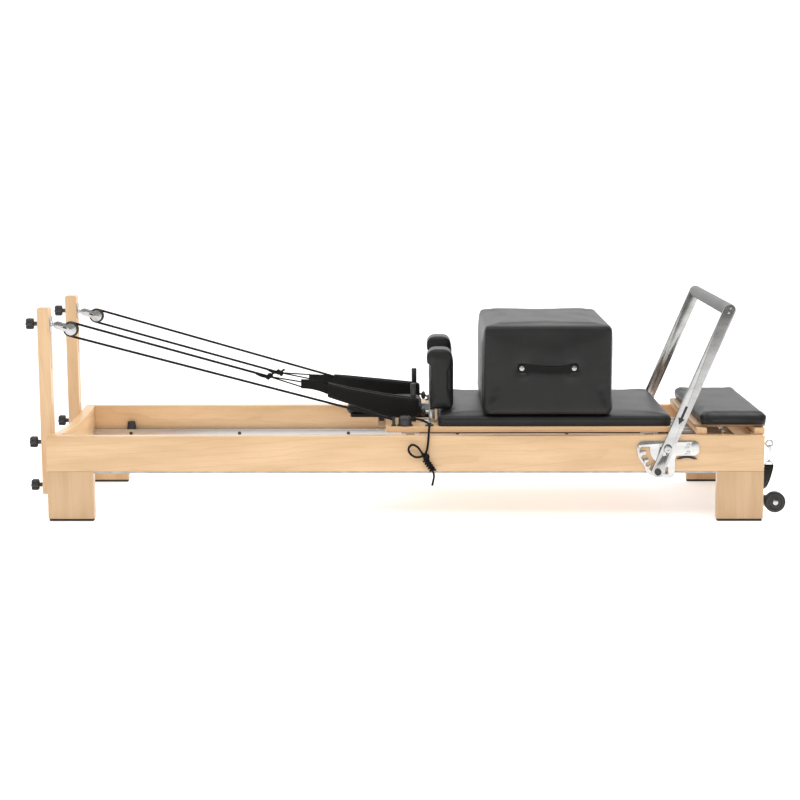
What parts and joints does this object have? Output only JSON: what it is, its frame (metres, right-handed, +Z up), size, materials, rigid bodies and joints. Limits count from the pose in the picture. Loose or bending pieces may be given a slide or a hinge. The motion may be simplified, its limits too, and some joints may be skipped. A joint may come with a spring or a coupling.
{
  "type": "pilates reformer",
  "caption": "Wooden pilates reformer: sprung carriage on rails, rope pulleys on two posts, padded footbar, shoulder rests, headrest and a sitting box.",
  "frame": {"origin": "on the floor, below the middle of the machine", "axes": "+X to the foot end with the footbar, +Y to the far side, +Z up"},
  "size_m": [2.562, 0.782, 0.7308],
  "materials": {
    "maple": "satin",
    "plywood": "satin",
    "upholstery": "satin",
    "polished_steel": "polished",
    "aluminium": "satin",
    "black_plastic": "matte",
    "black_rubber": "matte",
    "black_rope": "matte",
    "grip_foam": "matte",
    "spring_steel": "satin",
    "black_webbing": "matte"
  },
  "bodies": {
    "frame": {"near_side_rail": "maple", "far_side_rail": "maple", "legs": "maple", "foot_pads": "black_rubber", "head_end_board": "maple", "foot_end_board": "maple", "edge_strips": "aluminium", "tracks": "aluminium", "track_screws": "black_plastic", "track_stops": "black_rubber", "posts": "maple", "post_knobs": "black_plastic", "eye_plates": "polished_steel", "pulley_blocks": "polished_steel", "platform_battens": "maple", "platform_board": "plywood", "platform_pad": "upholstery", "comb_plates": "polished_steel", "footbar_bolts": "polished_steel", "bar_rests": "black_rubber", "eye_bolts": "polished_steel", "wheel_brackets": "black_plastic", "spring_bar": "polished_steel"},
    "carriage": {"carriage_board": "plywood", "carriage_pad": "upholstery", "wheel_forks": "polished_steel", "headrest_hinge": "polished_steel", "shoulder_pads": "upholstery", "shoulder_brackets": "polished_steel", "shoulder_knobs": "black_plastic", "strap_pegs": "black_plastic", "rope_cleats": "black_plastic", "near_rope": "black_rope", "far_rope": "black_rope", "near_rope_tail": "black_rope", "near_hand_strap": "black_webbing", "far_hand_strap": "black_webbing", "springs": "spring_steel"},
    "front_wheelset": {"front_wheels": "black_plastic"},
    "rear_wheelset": {"rear_wheels": "black_plastic"},
    "headrest": {"headrest_board": "plywood", "headrest_pad": "upholstery"},
    "prop": {"headrest_prop": "maple"},
    "box": {"sitting_box": "upholstery", "box_handles": "black_webbing", "box_screws": "polished_steel"},
    "footbar_hub": {"pivot_bushings": "polished_steel"},
    "footbar": {"footbar_arms": "polished_steel", "footbar_tube": "polished_steel", "footbar_grip": "grip_foam", "grip_screws": "polished_steel", "lock_pins": "black_plastic"},
    "near_pulley": {"near_sheave": "black_plastic"},
    "far_pulley": {"far_sheave": "black_plastic"},
    "near_wheel": {"near_transport_wheel": "black_rubber"},
    "far_wheel": {"far_transport_wheel": "black_rubber"},
    "strap": {"foot_strap": "black_webbing", "snap_hooks": "polished_steel"},
    "near_knob": {"near_top_knob": "black_plastic"},
    "far_knob": {"far_top_knob": "black_plastic"}
  },
  "joints": [
    {"name": "carriage_slide", "type": "slide", "parent": "frame", "child": "carriage", "axis": [1, 0, 0], "range_m": [-0.6, 0], "stiffness_N_per_m": 300, "springref_m": 0.15, "deforming": ["springs", "near_rope", "far_rope"]},
    {"name": "front_wheels_spin", "type": "hinge", "parent": "carriage", "child": "front_wheelset", "pos_m": [0.82, 0, 0.2345], "axis": [0, 1, 0], "range_deg": [-1230, 0]},
    {"name": "rear_wheels_spin", "type": "hinge", "parent": "carriage", "child": "rear_wheelset", "pos_m": [0.02, 0, 0.2345], "axis": [0, 1, 0], "range_deg": [-1230, 0]},
    {"name": "headrest_tilt", "type": "hinge", "parent": "carriage", "child": "headrest", "pos_m": [0.09, 0, 0.322], "axis": [0, 1, 0], "range_deg": [0, 40]},
    {"name": "prop_fold", "type": "hinge", "parent": "headrest", "child": "prop", "pos_m": [-0.083, 0, 0.3015], "axis": [0, 1, 0], "range_deg": [0, 80]},
    {"name": "box_lift", "type": "slide", "parent": "carriage", "child": "box", "axis": [0, 0, 1], "range_m": [0, 0.45]},
    {"name": "footbar_swing", "type": "hinge", "parent": "frame", "child": "footbar_hub", "pos_m": [0.876, 0, 0.248], "axis": [0, 1, 0], "range_deg": [-50, 66]},
    {"name": "footbar_lift", "type": "slide", "parent": "footbar_hub", "child": "footbar", "axis": [0.3875, 0, 0.9219], "range_m": [0, 0.018]},
    {"name": "near_sheave_spin", "type": "hinge", "parent": "frame", "child": "near_pulley", "pos_m": [-1.13, -0.232, 0.637], "axis": [0, 1, 0], "continuous": true},
    {"name": "far_sheave_spin", "type": "hinge", "parent": "frame", "child": "far_pulley", "pos_m": [-1.13, 0.232, 0.637], "axis": [0, 1, 0], "continuous": true},
    {"name": "near_wheel_spin", "type": "hinge", "parent": "frame", "child": "near_wheel", "pos_m": [1.246, -0.32, 0.058], "axis": [0, 1, 0], "continuous": true},
    {"name": "far_wheel_spin", "type": "hinge", "parent": "frame", "child": "far_wheel", "pos_m": [1.246, 0.32, 0.058], "axis": [0, 1, 0], "continuous": true},
    {"name": "foot_strap_swing", "type": "hinge", "parent": "frame", "child": "strap", "pos_m": [1.231, 0, 0.25], "axis": [0, 1, 0], "range_deg": [-45, 2]},
    {"name": "near_knob_turn", "type": "hinge", "parent": "frame", "child": "near_knob", "pos_m": [-1.26, -0.232, 0.656], "axis": [1, 0, 0], "continuous": true},
    {"name": "far_knob_turn", "type": "hinge", "parent": "frame", "child": "far_knob", "pos_m": [-1.26, 0.232, 0.656], "axis": [1, 0, 0], "continuous": true}
  ],
  "couplings": [
    {"joint": "front_wheels_spin", "follows": "carriage_slide", "rad_per_m": 35.714},
    {"joint": "rear_wheels_spin", "follows": "carriage_slide", "rad_per_m": 35.714}
  ]
}
